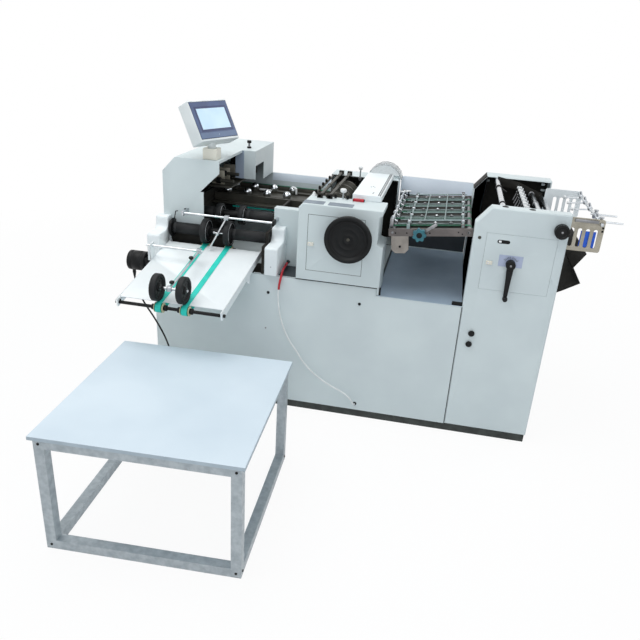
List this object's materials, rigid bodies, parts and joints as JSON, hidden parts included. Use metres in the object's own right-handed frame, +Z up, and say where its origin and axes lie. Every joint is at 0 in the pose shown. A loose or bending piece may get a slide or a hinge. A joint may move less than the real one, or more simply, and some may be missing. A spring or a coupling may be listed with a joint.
{
  "type": "paper folding machine",
  "caption": "Floor-standing console folding machine with a feed magazine, press unit, roller folding unit with a sloping belt delivery, and a separate low receiving table.",
  "frame": {"origin": "centre of the underside of the base plinth, on the floor", "axes": "+X to the feed end (right in the picture), +Y to the back, +Z up"},
  "size_m": [2.1563, 1.9725, 1.3744],
  "materials": {
    "panel_paint": "satin light grey paint",
    "white_paint": "satin off-white paint",
    "cream_paint": "satin cream paint",
    "table_paint": "satin pale blue-grey laminate",
    "plinth_paint": "matt black paint",
    "dark_paint": "satin dark paint",
    "beige_plate": "satin beige plate",
    "black_plastic": "matt black",
    "teal_plastic": "matt teal",
    "white_plastic": "smooth white sheath",
    "clear_plastic": "translucent",
    "black_rubber": "matt black rubber",
    "belt_green": "matt green belt",
    "bright_steel": "bright plated steel",
    "grey_steel": "ground steel",
    "galvanised": "dull zinc-coated steel"
  },
  "bodies": {
    "machine": {"base_plinth": "plinth_paint", "front_panel": "panel_paint", "rear_casing": "panel_paint", "right_end_panel": "panel_paint", "deck": "panel_paint", "near_end_frame": "panel_paint", "far_end_frame": "panel_paint", "feeder_bars": "bright_steel", "magazine_plate_near": "beige_plate", "magazine_plate_far": "beige_plate", "magazine_scoop": "dark_paint", "stop_rods": "bright_steel", "feed_table": "grey_steel", "press_near_housing": "panel_paint", "press_far_housing": "panel_paint", "rear_guard": "clear_plastic", "side_cover": "panel_paint", "s_cover_right": "white_paint", "s_cover_left": "white_paint", "hood": "white_paint", "fold_plate_left": "dark_paint", "fold_plate_right": "dark_paint", "register_table": "dark_paint", "ball_rails": "grey_steel", "guide_rods": "bright_steel", "delivery_tray": "white_paint", "delivery_belt_left": "belt_green", "delivery_belt_right": "belt_green", "delivery_motor": "dark_paint", "motor_cable": "black_plastic", "supply_cable": "white_plastic", "screen_neck": "cream_paint", "table_top": "table_paint", "table_frame": "galvanised"},
    "door": {"frame_door": "panel_paint"},
    "door_latch": {"door_latch": "cream_paint"},
    "speed_lever": {"speed_lever": "black_plastic"},
    "feed_knob": {"feed_knob": "black_plastic"},
    "start_button": {"start_button": "black_plastic"},
    "stop_button": {"stop_button": "black_plastic"},
    "feed_roller": {"feed_roller": "grey_steel"},
    "tape_drive_roller": {"tape_drive_roller": "grey_steel"},
    "hold_down_grid": {"hold_down_grid": "bright_steel"},
    "star_knob": {"star_knob": "teal_plastic"},
    "clamp_lever": {"clamp_lever": "white_paint"},
    "press_latch": {"press_latch": "cream_paint"},
    "press_cylinder": {"impression_cylinder": "grey_steel", "handwheel": "black_plastic"},
    "numbering_shaft": {"numbering_shaft": "grey_steel"},
    "press_top_cover": {"press_top_cover": "panel_paint"},
    "press_lever": {"press_lever": "bright_steel"},
    "adjusting_screw": {"adjusting_screw": "black_plastic"},
    "front_roller": {"front_roller": "black_rubber"},
    "rear_roller": {"rear_roller": "black_rubber"},
    "delivery_shaft": {"delivery_shaft": "grey_steel"},
    "belt_drive_shaft": {"belt_drive_shaft": "grey_steel"},
    "wheel_arm": {"wheel_arm": "bright_steel"},
    "wheel_left": {"hold_down_wheel_left": "black_rubber"},
    "wheel_right": {"hold_down_wheel_right": "black_rubber"},
    "screen": {"screen_housing": "white_paint"}
  },
  "joints": [
    {"name": "door_hinge", "type": "hinge", "parent": "machine", "child": "door", "pos_m": [0.8628, -0.405, 0.851], "axis": [0, 0, 1], "range_deg": [0, 110]},
    {"name": "door_latch_turn", "type": "hinge", "parent": "door", "child": "door_latch", "pos_m": [0.6, -0.408, 0.848], "axis": [0, 1, 0], "range_deg": [0, 90]},
    {"name": "speed_lever_turn", "type": "hinge", "parent": "door", "child": "speed_lever", "pos_m": [0.692, -0.42, 0.853], "axis": [0, 1, 0], "range_deg": [-150, 150]},
    {"name": "feed_knob_turn", "type": "hinge", "parent": "machine", "child": "feed_knob", "pos_m": [0.867, -0.42, 1.015], "axis": [0, 1, 0], "continuous": true},
    {"name": "start_press", "type": "slide", "parent": "machine", "child": "start_button", "axis": [0, 1, 0], "range_m": [0, 0.005], "stiffness_N_per_m": 300, "springref_m": -0.003},
    {"name": "stop_press", "type": "slide", "parent": "machine", "child": "stop_button", "axis": [0, 1, 0], "range_m": [0, 0.005], "stiffness_N_per_m": 300, "springref_m": -0.003},
    {"name": "tape_drive_spin", "type": "hinge", "parent": "machine", "child": "tape_drive_roller", "pos_m": [0.50602, 0, 0.95393], "axis": [0, 1, 0], "continuous": true},
    {"name": "feed_roller_spin", "type": "hinge", "parent": "machine", "child": "feed_roller", "pos_m": [0.18468, 0, 0.91788], "axis": [0, 1, 0], "continuous": true},
    {"name": "grid_lift", "type": "hinge", "parent": "machine", "child": "hold_down_grid", "pos_m": [0.47717, 0, 0.97786], "axis": [0, 1, 0], "range_deg": [0, 60]},
    {"name": "star_knob_turn", "type": "hinge", "parent": "machine", "child": "star_knob", "pos_m": [0.30052, -0.38, 0.92584], "axis": [0, 1, 0], "continuous": true},
    {"name": "clamp_turn", "type": "hinge", "parent": "machine", "child": "clamp_lever", "pos_m": [0.31939, -0.366, 0.93702], "axis": [0, 1, 0], "range_deg": [-60, 60]},
    {"name": "press_latch_turn", "type": "hinge", "parent": "machine", "child": "press_latch", "pos_m": [-0.166, -0.417, 0.84], "axis": [0, 1, 0], "range_deg": [0, 90]},
    {"name": "handwheel_turn", "type": "hinge", "parent": "machine", "child": "press_cylinder", "pos_m": [0.011, 0, 0.896], "axis": [0, 1, 0], "continuous": true},
    {"name": "numbering_turn", "type": "hinge", "parent": "machine", "child": "numbering_shaft", "pos_m": [-0.10768, 0, 0.94395], "axis": [0, 1, 0], "continuous": true},
    {"name": "top_cover_lift", "type": "hinge", "parent": "machine", "child": "press_top_cover", "pos_m": [0.115, 0, 1.0163], "axis": [0, 1, 0], "range_deg": [0, 90]},
    {"name": "press_lever_tip", "type": "hinge", "parent": "machine", "child": "press_lever", "pos_m": [-0.055, 0.255, 1.007], "axis": [0, 1, 0], "range_deg": [-20, 20]},
    {"name": "adjusting_turn", "type": "hinge", "parent": "machine", "child": "adjusting_screw", "pos_m": [-0.614, 0.141, 1.13], "axis": [0, 0, 1], "continuous": true},
    {"name": "front_roller_spin", "type": "hinge", "parent": "machine", "child": "front_roller", "pos_m": [-0.6, -0.302, 0.808], "axis": [1, 0, 0], "continuous": true},
    {"name": "rear_roller_spin", "type": "hinge", "parent": "machine", "child": "rear_roller", "pos_m": [-0.6, -0.18, 0.868], "axis": [1, 0, 0], "continuous": true},
    {"name": "belt_drive_spin", "type": "hinge", "parent": "machine", "child": "belt_drive_shaft", "pos_m": [-0.6, -0.3054, 0.72887], "axis": [1, 0, 0], "continuous": true},
    {"name": "delivery_shaft_spin", "type": "hinge", "parent": "machine", "child": "delivery_shaft", "pos_m": [-0.6, -0.838, 0.634], "axis": [1, 0, 0], "continuous": true},
    {"name": "wheel_arm_lift", "type": "hinge", "parent": "machine", "child": "wheel_arm", "pos_m": [-0.64, -0.4981, 0.77296], "axis": [-1, 0, 0], "range_deg": [0, 30]},
    {"name": "left_wheel_spin", "type": "hinge", "parent": "wheel_arm", "child": "wheel_left", "pos_m": [-0.692, -0.82496, 0.71474], "axis": [1, 0, 0], "continuous": true},
    {"name": "right_wheel_spin", "type": "hinge", "parent": "wheel_arm", "child": "wheel_right", "pos_m": [-0.582, -0.82496, 0.71474], "axis": [1, 0, 0], "continuous": true},
    {"name": "screen_swivel", "type": "hinge", "parent": "machine", "child": "screen", "pos_m": [-0.675, -0.231, 1.17], "axis": [0, 0, 1], "range_deg": [-40, 40]}
  ],
  "couplings": [
    {"joint": "numbering_turn", "follows": "handwheel_turn", "ratio": -1},
    {"joint": "rear_roller_spin", "follows": "front_roller_spin", "ratio": 1},
    {"joint": "delivery_shaft_spin", "follows": "belt_drive_spin", "ratio": 1},
    {"joint": "feed_roller_spin", "follows": "tape_drive_spin", "ratio": 1}
  ]
}
